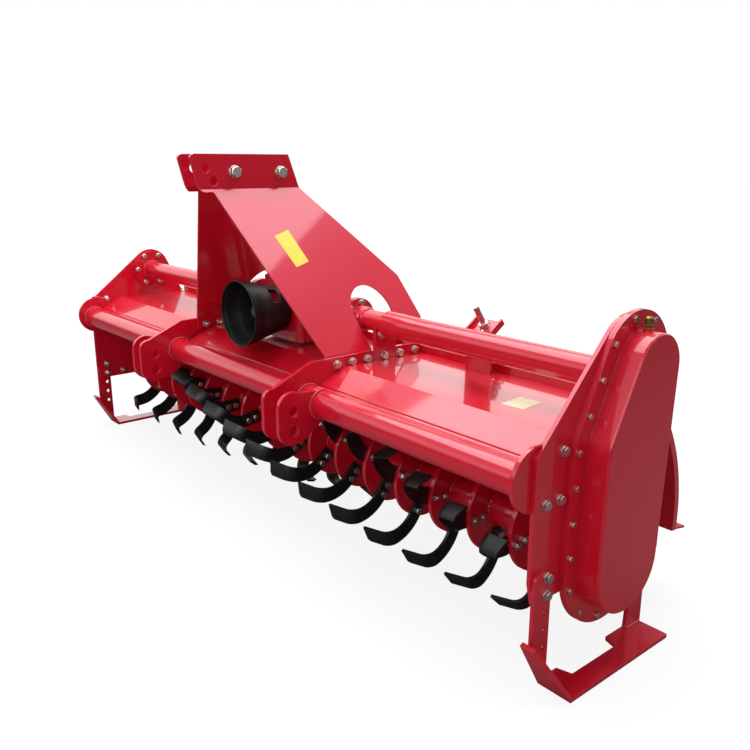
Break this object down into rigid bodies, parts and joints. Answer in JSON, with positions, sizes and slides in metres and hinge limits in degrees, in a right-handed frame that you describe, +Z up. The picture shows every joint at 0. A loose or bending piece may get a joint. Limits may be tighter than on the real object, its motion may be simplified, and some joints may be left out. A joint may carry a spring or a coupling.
{
  "type": "rotary tiller",
  "caption": "Tractor-mounted rotary tiller: tined rotor under a steel deck, side gear drive, three-point mast, hinged trailing board with spring rods, on two depth skids.",
  "frame": {"origin": "on the ground below the cross drive axis, midway between the lower hitch clevises; within a few millimetres of the centre of the bounding box's base", "axes": "+X to the gear-case side, +Y to the rear (away from the tractor), +Z up"},
  "size_m": [2.473, 0.782, 1.093],
  "materials": {
    "red_paint": "glossy",
    "black_tine_steel": "satin",
    "spring_steel": "satin",
    "guard_plastic": "matt",
    "bare_steel": "machined",
    "breather_brass": "yellow zinc",
    "zinc_steel": "zinc plated"
  },
  "bodies": {
    "frame": {"side_plate_left": "red_paint", "side_plate_right": "red_paint", "front_tube": "red_paint", "front_tube_flanges": "red_paint", "top_tube_left": "red_paint", "top_tube_right": "red_paint", "drive_neck_left": "red_paint", "drive_neck_right": "red_paint", "gearbox": "red_paint", "pto_guard": "guard_plastic", "hitch_plate_long_left": "red_paint", "hitch_plate_long_right": "red_paint", "hitch_plate_short_left": "red_paint", "hitch_plate_short_right": "red_paint", "mast_plate_left": "red_paint", "mast_plate_right": "red_paint", "headstock_spacers": "zinc_steel", "deck_left": "red_paint", "deck_centre": "red_paint", "deck_right": "red_paint", "deck_rear_bar": "red_paint", "board_hinge_pin": "zinc_steel", "rod_bracket_left": "red_paint", "rod_bracket_right": "red_paint", "gear_case_back": "red_paint", "gear_case_cover": "red_paint", "case_breather": "breather_brass", "rotor_bearing_hub": "red_paint", "skid_left": "red_paint", "skid_right": "red_paint"},
    "input_shaft": {"pto_shaft": "bare_steel"},
    "rotor": {"rotor_tube": "red_paint", "tines_right_hand": "black_tine_steel", "tines_left_hand": "black_tine_steel"},
    "board": {"trailing_board": "red_paint", "board_foot": "red_paint", "board_lugs": "red_paint"},
    "rod_left": {"spring_rod_left": "zinc_steel", "rod_spring_left": "spring_steel"},
    "rod_right": {"spring_rod_right": "zinc_steel", "rod_spring_right": "spring_steel"}
  },
  "joints": [
    {"name": "rotor_spin", "type": "hinge", "parent": "frame", "child": "rotor", "pos_m": [0, -0.024, 0.243], "axis": [1, 0, 0], "continuous": true},
    {"name": "input_spin", "type": "hinge", "parent": "frame", "child": "input_shaft", "pos_m": [0, -0.155, 0.633], "axis": [0, -1, 0], "continuous": true},
    {"name": "board_lift", "type": "hinge", "parent": "frame", "child": "board", "pos_m": [0, 0.176, 0.503], "axis": [1, 0, 0], "range_deg": [0, 25]},
    {"name": "rod_left_swing", "type": "hinge", "parent": "board", "child": "rod_left", "pos_m": [-0.65, 0.36598, 0.29996], "axis": [1, 0, 0], "range_deg": [-8.5, 0]},
    {"name": "rod_right_swing", "type": "hinge", "parent": "board", "child": "rod_right", "pos_m": [0.65, 0.36598, 0.29996], "axis": [1, 0, 0], "range_deg": [-8.5, 0]}
  ],
  "couplings": [
    {"joint": "input_spin", "follows": "rotor_spin", "ratio": 2.25},
    {"joint": "rod_left_swing", "follows": "board_lift", "ratio": -0.334},
    {"joint": "rod_right_swing", "follows": "board_lift", "ratio": -0.334}
  ]
}
